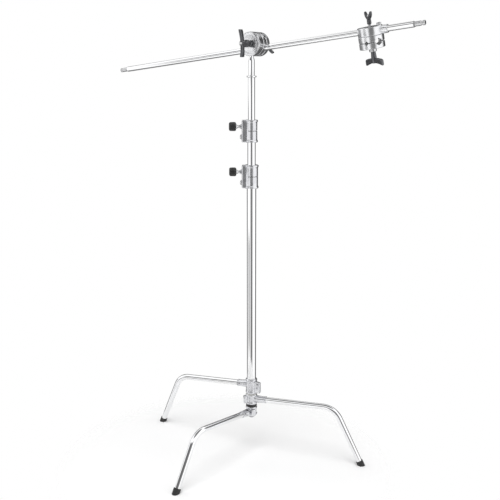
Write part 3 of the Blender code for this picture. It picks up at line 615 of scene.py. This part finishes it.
# ---------------------------------------------------------------- column
def make_collar(prefix, radius, bore, lower_bore, seat):
    low, high = levels(prefix + "_collar")
    body = about_mast(KNOB_AZIMUTH)
    collar = lathe(prefix + "_collar_casting", [
        (0.0, high), (radius, high), (radius + COLLAR_RIM, high - 0.002),
        (radius + COLLAR_RIM, high - 0.006), (radius - 0.0006, high - 0.010),
        (radius - 0.0006, low + 0.010), (radius + COLLAR_RIM * 0.8, low + 0.006),
        (radius + COLLAR_RIM * 0.8, low + 0.002), (radius, low), (0.0, low)], body, SIDES, 0.0012)
    lug = box(prefix + "_lug", (0.005, -COLLAR_LUG_HALF, low + 0.0008),
              (COLLAR_LUG_REACH, COLLAR_LUG_HALF, high - 0.0008), body, 0.004)
    knob_z = joints[prefix + "_knob_turn"]["pos_m"][2]
    across = body @ placement((0.0, 0.0, knob_z), (0.0, 0.0, 1.0), (1.0, 0.0, 0.0))
    boss = rod(prefix + "_boss", 0.0105, 0.020, COLLAR_LUG_REACH + 0.005, across, SMALL_SIDES, 0.008)
    join(collar, lug, boss)
    slit_z = (low + high) / 2 + 0.001
    cut(collar,
        rod("tube_hole", lower_bore + GAP, low - 0.01, seat + GAP, body, SIDES),
        rod("bush_hole", bore + BUSH_WALL + GAP, seat - 0.001, high + 0.01, body, SIDES),
        rod("screw_hole", KNOB_STEM_RADIUS + GAP, bore, 0.06, across),
        box("slit", (-0.05, -0.05, slit_z - COLLAR_SLIT_HALF),
            (0.0130, 0.05, slit_z + COLLAR_SLIT_HALF), body))
    finish_piece(collar, prefix + "_collar")

    start = bore + 0.0006
    stem = KNOB_STEM_RADIUS
    finish_piece(lathe(prefix + "_knob_stem", [
        (0.0, KNOB_START + 0.010), (stem, KNOB_START + 0.010), (stem, KNOB_START - 0.0006),
        (0.0085, KNOB_START - 0.0006), (0.0055, KNOB_START - 0.006), (0.0046, KNOB_START - 0.009),
        (0.0060, COLLAR_LUG_REACH + 0.0065), (stem, COLLAR_LUG_REACH + 0.0056), (stem, start),
        (0.0, start)], across, SMALL_SIDES), prefix + "_knob_screw")

    def lobes(angle, height):
        """Six lobes round the grip, growing out of its round foot."""
        share = min(1.0, max(0.0, (height - KNOB_START) / 0.004))
        return 1.0 + 0.092 * share * (abs(math.cos(3.0 * angle)) ** 0.7 * 2.0 - 1.0)
    knob = lathe(prefix + "_knob_grip", [
        (0.0, KNOB_START + 0.0235), (0.0060, KNOB_START + 0.0235), (0.0072, KNOB_START + 0.026),
        (0.0112, KNOB_START + 0.026), (0.0144, KNOB_START + 0.0225), (0.0148, KNOB_START + 0.012),
        (0.0148, KNOB_START + 0.003), (0.0124, KNOB_START), (stem + GAP, KNOB_START),
        (stem + GAP, KNOB_START + 0.0105), (0.0, KNOB_START + 0.0105)],
        across, KNOB_SIDES, 0.0014, wobble=lobes)
    finish_piece(knob, prefix + "_knob")

    bolt = body @ placement((COLLAR_LUG_REACH - 0.002, 0.0, low + (high - low) * 0.24),
                            (0.0, 0.0, 1.0), (1.0, 0.0, 0.0))
    start = 0.002 + GAP
    head = lathe(prefix + "_collar_bolt_head", [
        (0.0, start + 0.0062), (0.0060, start + 0.0055), (0.0085, start + 0.0030),
        (0.0092, start), (0.0, start)], bolt, SMALL_SIDES, 0.0012)
    cut(head, rod("socket", 0.0030, start + 0.003, start + 0.01, bolt, 6))
    finish_piece(head, prefix + "_collar_bolt")


def make_column():
    mast = about_mast(0.0)
    for name, radius in (("lower_tube", LOWER_TUBE_RADIUS), ("middle_riser", MIDDLE_TUBE_RADIUS),
                         ("top_riser", TOP_TUBE_RADIUS)):
        low, high = levels(name)
        inside = radius - TUBE_WALL
        finish_piece(lathe(name + "_drawn", [(radius, high), (radius, low), (inside, low),
                                             (inside, high)], mast, closed=True), name)
    make_collar("lower", LOWER_COLLAR_RADIUS, MIDDLE_TUBE_RADIUS, LOWER_TUBE_RADIUS,
                levels("lower_tube")[1])
    make_collar("upper", UPPER_COLLAR_RADIUS, TOP_TUBE_RADIUS, MIDDLE_TUBE_RADIUS,
                levels("upper_bush")[0] - GAP)
    foot, top = levels("spigot")
    flange = foot + SPIGOT_PLUG
    shoulder = HEAD_Z - SPIGOT_SHOULDER
    inside = TOP_TUBE_RADIUS - TUBE_WALL - GAP
    finish_piece(lathe("spigot_turned", [
        (0.0, top), (STUD_RADIUS - 0.001, top), (STUD_RADIUS, top - 0.001),
        (STUD_RADIUS, shoulder + 0.010), (SPIGOT_NECK_RADIUS, shoulder),
        (SPIGOT_NECK_RADIUS, flange + 0.0065), (SPIGOT_FLANGE_RADIUS - 0.001, flange + 0.0060),
        (SPIGOT_FLANGE_RADIUS, flange + 0.0050), (SPIGOT_FLANGE_RADIUS, flange + 0.0015),
        (SPIGOT_FLANGE_RADIUS - 0.001, flange + 0.0005), (inside, flange + 0.0003),
        (inside, foot), (0.0, foot)], mast), "spigot")


# ---------------------------------------------------------------- grip heads
def make_jaw(name, near, far, matrix):
    """A jaw plate with chamfered rims, two grooves, a bolt hole and a spring pocket."""
    chamfer = 0.0012
    jaw = lathe(name + "_plate", [
        (0.0, far), (HEAD_RADIUS - chamfer, far), (HEAD_RADIUS, far - chamfer),
        (HEAD_RADIUS, near + chamfer), (HEAD_RADIUS - chamfer, near), (0.0, near)],
        matrix, SIDES, 0.0004)
    tools = []
    for offset, sides, inside in ((GROOVE_OFFSET, 6, ARM_RADIUS + GAP),
                                  (-NARROW_OFFSET, 4, NARROW_HALF)):
        lie = matrix @ placement((0.0, offset, ARM_PLANE), (0.0, 0.0, 1.0), (1.0, 0.0, 0.0))
        tools.append(rod("groove", inside / math.cos(math.pi / sides), -0.06, 0.06, lie, sides))
    tools.append(rod("bolt_hole", BOLT_RADIUS + GAP, near - 0.01, far + 0.01, matrix))
    pocket, depth = SPRING_POCKET
    tools.append(rod("pocket", pocket, ARM_PLANE - depth, ARM_PLANE + depth, matrix))
    cut(jaw, *tools)
    finish_piece(jaw, name)


def handle_bar(name, middle, way, shape, matrix):
    """A bar of rounded section with blunt ends, swept along the placement's Z the way given.

    The section shrinks to 0.80 close to each end, and it is shallowest in the bar's middle.
    """
    half_length, half_width, half_depth, sweep, _ = shape
    stations, corners = 24, 24
    body = bmesh.new()
    loops = []
    for i in range(stations + 1):
        along = -math.cos(math.pi * i / stations)
        height = middle + way * sweep * along * along
        close = 0.80 + 0.20 * math.sqrt(max(0.0, 1.0 - abs(along) ** 16))
        deep = half_depth * close * (0.80 + 0.24 * along * along)
        loop = []
        for k in range(corners):
            angle = 2 * math.pi * k / corners
            c, s = math.cos(angle), math.sin(angle)
            x = math.copysign(abs(c) ** 0.6, c) * half_width * close
            z = math.copysign(abs(s) ** 0.5, s) * deep
            loop.append(body.verts.new((along * half_length, x, height + z)))
        loops.append(loop)
    for loop, after in zip(loops, loops[1:]):
        for k in range(corners):
            m = (k + 1) % corners
            body.faces.new((loop[k], after[k], after[m], loop[m]))
    body.faces.new(loops[0])
    body.faces.new(list(reversed(loops[-1])))
    return new_object(name, body, matrix)


def make_clamp_handle(prefix, stem, shape, turn, matrix):
    _, _, half_depth, _, stem_length = shape
    bar_middle = stem + stem_length + half_depth
    end = bar_middle + half_depth - 0.001
    handle = lathe(prefix + "_clamp_handle_cast", [
        (0.0, end), (STEM_RADIUS - 0.0010, end - 0.001), (STEM_RADIUS + 0.0007, bar_middle),
        (STEM_RADIUS + 0.0012, stem + stem_length - 0.002), (STEM_RADIUS, stem + 0.002),
        (STEM_RADIUS, stem), (0.0, stem)], matrix, SMALL_SIDES, 0.001)
    join(handle, handle_bar("bar", bar_middle, 1.0, shape, matrix @ Matrix.Rotation(turn, 4, "Z")))
    bolt_end = stem + stem_length + 0.004
    cut(handle, rod("bolt_hole", BOLT_RADIUS + GAP, stem - 0.01, bolt_end + 0.003, matrix))
    finish_piece(handle, prefix + "_clamp_handle")


def make_lock_handle(prefix, shape, turn, matrix):
    """The handle on the base's face; returns where it ends, on the base's own axis."""
    _, _, half_depth, _, stem_length = shape
    start = -BASE_HALF - LOCK_STAND_OFF
    bar_middle = start - stem_length - LOCK_EXTRA_STEM - half_depth
    end = bar_middle - half_depth + 0.001
    thick, hub_length, neck, corner = LOCK_HUBS[shape]
    lock = lathe(prefix + "_lock_handle_cast", [
        (0.0, start), (thick - corner, start), (thick, start - 0.002),
        (thick, start - hub_length), (neck, start - hub_length - 0.004), (neck, bar_middle),
        (neck - 0.0005, end), (0.0, end)], matrix, SMALL_SIDES, 0.0004)
    join(lock, handle_bar("bar", bar_middle, -1.0, shape, matrix @ Matrix.Rotation(turn, 4, "Z")))
    cut(lock, rod("screw_hole", SCREW_RADIUS + GAP, end - 0.01, start + 0.01, matrix))
    finish_piece(lock, prefix + "_lock_handle")
    return end


def make_head(prefix, base_matrix, jaw_matrix, bore_radius, lock_shape, clamp_shape, boss):
    """A grip head: base, two jaws, washer, two handles and a lock screw; head 2 has a boss too."""
    chamfer = 0.0015
    base = lathe(prefix + "_base_block", [
        (0.0, BASE_HALF), (HEAD_RADIUS - chamfer, BASE_HALF), (HEAD_RADIUS, BASE_HALF - chamfer),
        (HEAD_RADIUS, chamfer - BASE_HALF), (HEAD_RADIUS - chamfer, -BASE_HALF),
        (0.0325, -BASE_HALF), (0.0317, 0.0008 - BASE_HALF), (0.0300, 0.0008 - BASE_HALF),
        (0.0292, -BASE_HALF), (0.0, -BASE_HALF)], base_matrix, SIDES, 0.0004)
    cross = base_matrix @ placement((0.0, 0.0, 0.0), (0.0, 0.0, 1.0), (1.0, 0.0, 0.0))
    if boss:
        thick, near, far = BOSS
        join(base, lathe("boss", [(0.0, far), (thick - 0.001, far), (thick, far - 0.001),
                                  (thick, near), (0.0, near)], cross, SIDES))
    bolt_foot = bore_radius + 0.0012
    cut(base,
        rod("cross_hole", bore_radius, -0.07, 0.07, cross),
        rod("lock_hole", SCREW_RADIUS + GAP, -BASE_HALF - 0.01, 0.006 - bore_radius, base_matrix),
        rod("bolt_hole", BOLT_RADIUS + GAP, bolt_foot - GAP, BASE_HALF + 0.01, base_matrix))
    finish_piece(base, prefix + "_base")
    make_jaw(prefix + "_inner_jaw", JAW_START, JAW_START + JAW_THICKNESS, jaw_matrix)
    make_jaw(prefix + "_outer_jaw", OUTER_START, HEAD_END, jaw_matrix)

    start = HEAD_END + GAP
    end = start + CLAMP_WASHER_HEIGHT
    hole = BOLT_RADIUS + GAP
    finish_piece(lathe(prefix + "_clamp_washer_turned", [
        (0.0110, end), (0.0125, end - 0.0015), (0.0125, start + 0.003), (0.0140, start + 0.001),
        (0.0140, start), (hole, start), (hole, end)], jaw_matrix, SMALL_SIDES, closed=True),
        prefix + "_clamp_washer")
    make_clamp_handle(prefix, end + GAP, *clamp_shape, jaw_matrix)
    held = STUD_RADIUS if bore_radius < ARM_RADIUS else ARM_RADIUS
    handle_end = make_lock_handle(prefix, *lock_shape, base_matrix)
    make_thread(prefix + "_lock_screw", SCREW_RADIUS, handle_end - 0.007, -held - 2 * GAP,
                base_matrix)
    if boss:
        small = base_matrix @ Matrix.Translation((RETAINING_SCREW_AT, 0.0, -BASE_HALF - GAP))
        screw = lathe(prefix + "_retaining_screw_head", [
            (0.0, 0.0), (0.0075, 0.0), (0.0075, -0.0075), (0.0060, -0.0090), (0.0, -0.0090)],
            small, SMALL_SIDES)
        cut(screw, rod("socket", 0.0032, -0.012, -0.0050, small, 6))
        finish_piece(screw, prefix + "_retaining_screw")


def make_thread(node, radius, low, high, matrix):
    """A screw with a fine thread, as rings at its pitch, and rounded ends."""
    root = radius - THREAD_DEPTH
    points = [(0.0, high), (radius - 0.0012, high), (root, high - 0.001)]
    turns = int((high - low - 0.003) / THREAD_PITCH)
    for i in range(turns):
        top = high - 0.0012 - i * THREAD_PITCH
        points += [(radius, top - THREAD_PITCH * 0.3), (radius, top - THREAD_PITCH * 0.5),
                   (root, top - THREAD_PITCH)]
    points += [(radius - 0.0012, low), (0.0, low)]
    finish_piece(lathe(node + "_threaded", points, matrix, SMALL_SIDES, 0.0), node)


def make_heads():
    make_head("head1", placement(HEAD_1, UP, BACK), placement(HEAD_1, ARM_DIRECTION, BACK),
              STUD_RADIUS + GAP, (TEE, math.radians(-4.0)), (WING, math.radians(65.0)), False)
    grooves = math.radians(HEAD_2_GROOVES)
    along = Vector((math.cos(grooves), math.sin(grooves), 0.0))
    make_head("head2", placement(HEAD_2, ARM_DIRECTION, HEAD_2_UNDER),
              placement(HEAD_2, along, HEAD_2_UNDER), ARM_RADIUS + GAP,
              (BLADE, math.radians(50.0)), (TEE, math.radians(-25.0)), True)


# ---------------------------------------------------------------- arm
def make_arm():
    beside = HEAD_1 + BACK * ARM_PLANE + ARM_UNDER * GROOVE_OFFSET
    lie = placement(beside, BACK, ARM_DIRECTION)
    mounts = {mount["name"]: Vector(mount["pos_m"]) for mount in frame["record"]["mounts"]}
    right = (mounts["arm_stud_right_end"] - beside).dot(ARM_DIRECTION) - STUD_LENGTH
    left = (mounts["arm_stud_left_end"] - beside).dot(ARM_DIRECTION) + STUD_LENGTH
    inside = ARM_RADIUS - ARM_WALL
    finish_piece(lathe("arm_tube_drawn", [(ARM_RADIUS, right), (ARM_RADIUS, left), (inside, left),
                                          (inside, right)], lie, closed=True), "arm_tube")
    plug = inside - GAP
    tip = STUD_LENGTH - 2 * GAP
    for name, end, way in (("arm_stud_left", left, -1.0), ("arm_stud_right", right, 1.0)):
        seat = placement(beside + ARM_DIRECTION * end, BACK, ARM_DIRECTION * way)
        finish_piece(lathe(name + "_turned", [
            (0.0, tip), (STUD_RADIUS - 0.0015, tip), (STUD_RADIUS, tip - 0.0015),
            (STUD_RADIUS, tip - 0.0070), (STUD_RADIUS - 0.002, tip - 0.0085),
            (STUD_RADIUS - 0.002, tip - 0.0125), (STUD_RADIUS, tip - 0.0140),
            (STUD_RADIUS, 0.0050), (ARM_RADIUS - 0.0005, GAP), (plug, GAP), (plug, -0.0300),
            (0.0, -0.0300)], seat, SIDES, 0.0005), name)


# ---------------------------------------------------------------- studio
CAMERA_AZIMUTH = 33.0             # the camera stands this far round from -Y towards +X
CAMERA_DISTANCE = 2.8
CAMERA_HEIGHT = 1.45
CAMERA_PITCH = 13.0
CAMERA_LENS = 55.05
CAMERA_SENSOR = 36.0
CAMERA_TRIM = 0.0020              # radians, so that the mast stands where it should
FLOOR_RADIUS = 0.68
BRIGHT = 1.25                     # the room's white walls


def make_camera():
    data = bpy.data.cameras.new("camera")
    camera = bpy.data.objects.new("camera", data)
    bpy.context.scene.collection.objects.link(camera)
    turn = math.radians(CAMERA_AZIMUTH)
    camera.location = MAST + Vector((math.sin(turn) * CAMERA_DISTANCE,
                                     -math.cos(turn) * CAMERA_DISTANCE, CAMERA_HEIGHT))
    camera.rotation_euler = (math.radians(90.0 - CAMERA_PITCH), 0.0, turn + CAMERA_TRIM)
    data.lens = CAMERA_LENS
    data.sensor_width = CAMERA_SENSOR
    data.clip_start = 0.05
    data.clip_end = 60.0
    bpy.context.scene.camera = camera


def make_floor():
    """A pale disc that thins out towards its edge, so that no horizon line shows."""
    body = bmesh.new()
    bmesh.ops.create_circle(body, cap_ends=True, segments=96, radius=FLOOR_RADIUS)
    floor = new_object("studio_floor", body, Matrix.Translation((0.0, 0.0, -0.0005)))
    material, tree, shader = new_shader("studio_floor", 0.9, 0.0)
    tone = noise(tree, 1.5, 3.0)
    link(tree, ramp(tree, tone, [(0.3, grey(0.90)), (0.7, grey(0.92))]),
         shader.inputs["Base Color"])
    where = tree.nodes.new("ShaderNodeTexCoord")
    length = tree.nodes.new("ShaderNodeVectorMath")
    length.operation = "LENGTH"
    thin = tree.nodes.new("ShaderNodeMapRange")
    thin.interpolation_type = "SMOOTHSTEP"
    thin.inputs["From Min"].default_value = FLOOR_RADIUS * 0.78
    thin.inputs["From Max"].default_value = FLOOR_RADIUS * 0.98
    clear = tree.nodes.new("ShaderNodeBsdfTransparent")
    choose = tree.nodes.new("ShaderNodeMixShader")
    link(tree, where.outputs["Object"], length.inputs[0])
    link(tree, length.outputs["Value"], thin.inputs["Value"])
    link(tree, thin.outputs["Result"], choose.inputs["Fac"])
    link(tree, shader.outputs["BSDF"], choose.inputs[1])
    link(tree, clear.outputs["BSDF"], choose.inputs[2])
    link(tree, choose.outputs["Shader"], tree.nodes["Material Output"].inputs["Surface"])
    floor.data.materials.append(material)


# What the metal sees: degrees round from the camera's side, positive to the picture's right, and
# how bright it is there; below the horizon, in a band some way under it, just above it, and higher
ROOM_BELOW = ((-30, BRIGHT), (-21, 0.24), (21, 0.24), (30, BRIGHT), (98, BRIGHT), (108, 0.12),
              (165, 0.12), (-165, 0.25), (-108, 0.25), (-98, BRIGHT))
ROOM_LEVEL = ROOM_BELOW + ((-80, BRIGHT), (-76, 0.20), (-51, 0.20), (-47, BRIGHT))
ROOM_ABOVE = ((-26, BRIGHT), (-19, 0.20), (19, 0.20), (26, BRIGHT), (96, BRIGHT), (106, 0.07),
              (170, 0.07), (-165, 0.20), (-135, 0.20), (-128, BRIGHT))
ROOM_HIGH = ((-88, BRIGHT), (-78, 0.16), (-32, 0.16), (-19, 0.20), (19, 0.20), (26, BRIGHT),
             (96, BRIGHT), (106, 0.07), (170, 0.07), (-165, 0.20), (-135, 0.20), (-128, BRIGHT))
LEFT_BACK = 0.25                  # the brightness where the ramps' two ends meet, below and above
LEFT_BACK_ABOVE = BRIGHT


def make_world():
    """White to the eye; to the metal, a white room with dark flags standing round it."""
    world = bpy.data.worlds.new("studio")
    bpy.context.scene.world = world
    world.use_nodes = True
    tree = world.node_tree
    tree.nodes.clear()
    where = tree.nodes.new("ShaderNodeTexCoord")
    apart = tree.nodes.new("ShaderNodeSeparateXYZ")
    angle = tree.nodes.new("ShaderNodeMath")
    angle.operation = "ARCTAN2"
    link(tree, where.outputs["Generated"], apart.inputs["Vector"])
    link(tree, apart.outputs["Y"], angle.inputs[0])
    link(tree, apart.outputs["X"], angle.inputs[1])
    turn = tree.nodes.new("ShaderNodeMapRange")
    turn.inputs["From Min"].default_value = -math.pi
    turn.inputs["From Max"].default_value = math.pi
    link(tree, angle.outputs["Value"], turn.inputs["Value"])
    camera_way = (CAMERA_AZIMUTH - 90.0 + 180.0) / 360.0

    def walls(rows, ends):
        stops = [(0.0, grey(ends)), (1.0, grey(ends))]
        stops += [((camera_way + degrees / 360.0) % 1.0, grey(value)) for degrees, value in rows]
        return ramp(tree, turn.outputs["Result"], stops)

    def blend(height_low, height_high, low, high):
        """One colour below a height in the sky, another above it."""
        rise = tree.nodes.new("ShaderNodeMapRange")
        rise.interpolation_type = "SMOOTHSTEP"
        rise.inputs["From Min"].default_value = height_low
        rise.inputs["From Max"].default_value = height_high
        mix = tree.nodes.new("ShaderNodeMixRGB")
        link(tree, apart.outputs["Z"], rise.inputs["Value"])
        link(tree, rise.outputs["Result"], mix.inputs["Fac"])
        link(tree, low, mix.inputs["Color1"])
        link(tree, high, mix.inputs["Color2"])
        return mix.outputs["Color"]

    sky = ramp(tree, apart.outputs["Z"], [(0.0, grey(BRIGHT)), (0.80, grey(BRIGHT)),
                                          (0.90, grey(0.22)), (1.0, grey(0.22))])
    below = walls(ROOM_BELOW, LEFT_BACK)
    lower = blend(-0.18, -0.12, blend(-0.46, -0.38, below, walls(ROOM_LEVEL, LEFT_BACK)), below)
    level = blend(0.0, 0.05, lower, walls(ROOM_ABOVE, LEFT_BACK_ABOVE))
    middle = blend(0.10, 0.18, level, walls(ROOM_HIGH, LEFT_BACK_ABOVE))
    room = blend(0.50, 0.62, middle, sky)
    seen = tree.nodes.new("ShaderNodeBackground")
    seen.inputs["Color"].default_value = (1.0, 1.0, 1.0, 1.0)
    lit = tree.nodes.new("ShaderNodeBackground")
    link(tree, room, lit.inputs["Color"])
    path = tree.nodes.new("ShaderNodeLightPath")
    choose = tree.nodes.new("ShaderNodeMixShader")
    out = tree.nodes.new("ShaderNodeOutputWorld")
    link(tree, path.outputs["Is Camera Ray"], choose.inputs["Fac"])
    link(tree, lit.outputs["Background"], choose.inputs[1])
    link(tree, seen.outputs["Background"], choose.inputs[2])
    link(tree, choose.outputs["Shader"], out.inputs["Surface"])


def make_light():
    """One soft lamp overhead, kept out of the metal's reflections."""
    data = bpy.data.lights.new("key", "AREA")
    data.shape = "DISK"
    data.size = 3.0
    data.energy = 95.0
    light = bpy.data.objects.new("key", data)
    light.visible_glossy = False
    bpy.context.scene.collection.objects.link(light)
    light.location = (0.5, -1.0, 4.5)
    light.rotation_euler = (math.radians(12), 0.0, 0.0)


for cad_node, cad_object in frame["nodes"].items():
    cad_object.data.materials.clear()
    cad_object.data.materials.append(MATERIALS[node_slot[cad_node]])

make_base()
make_column()
make_heads()
make_arm()
make_camera()
make_floor()
make_world()
make_light()
bpy.context.scene.view_settings.view_transform = "Standard"
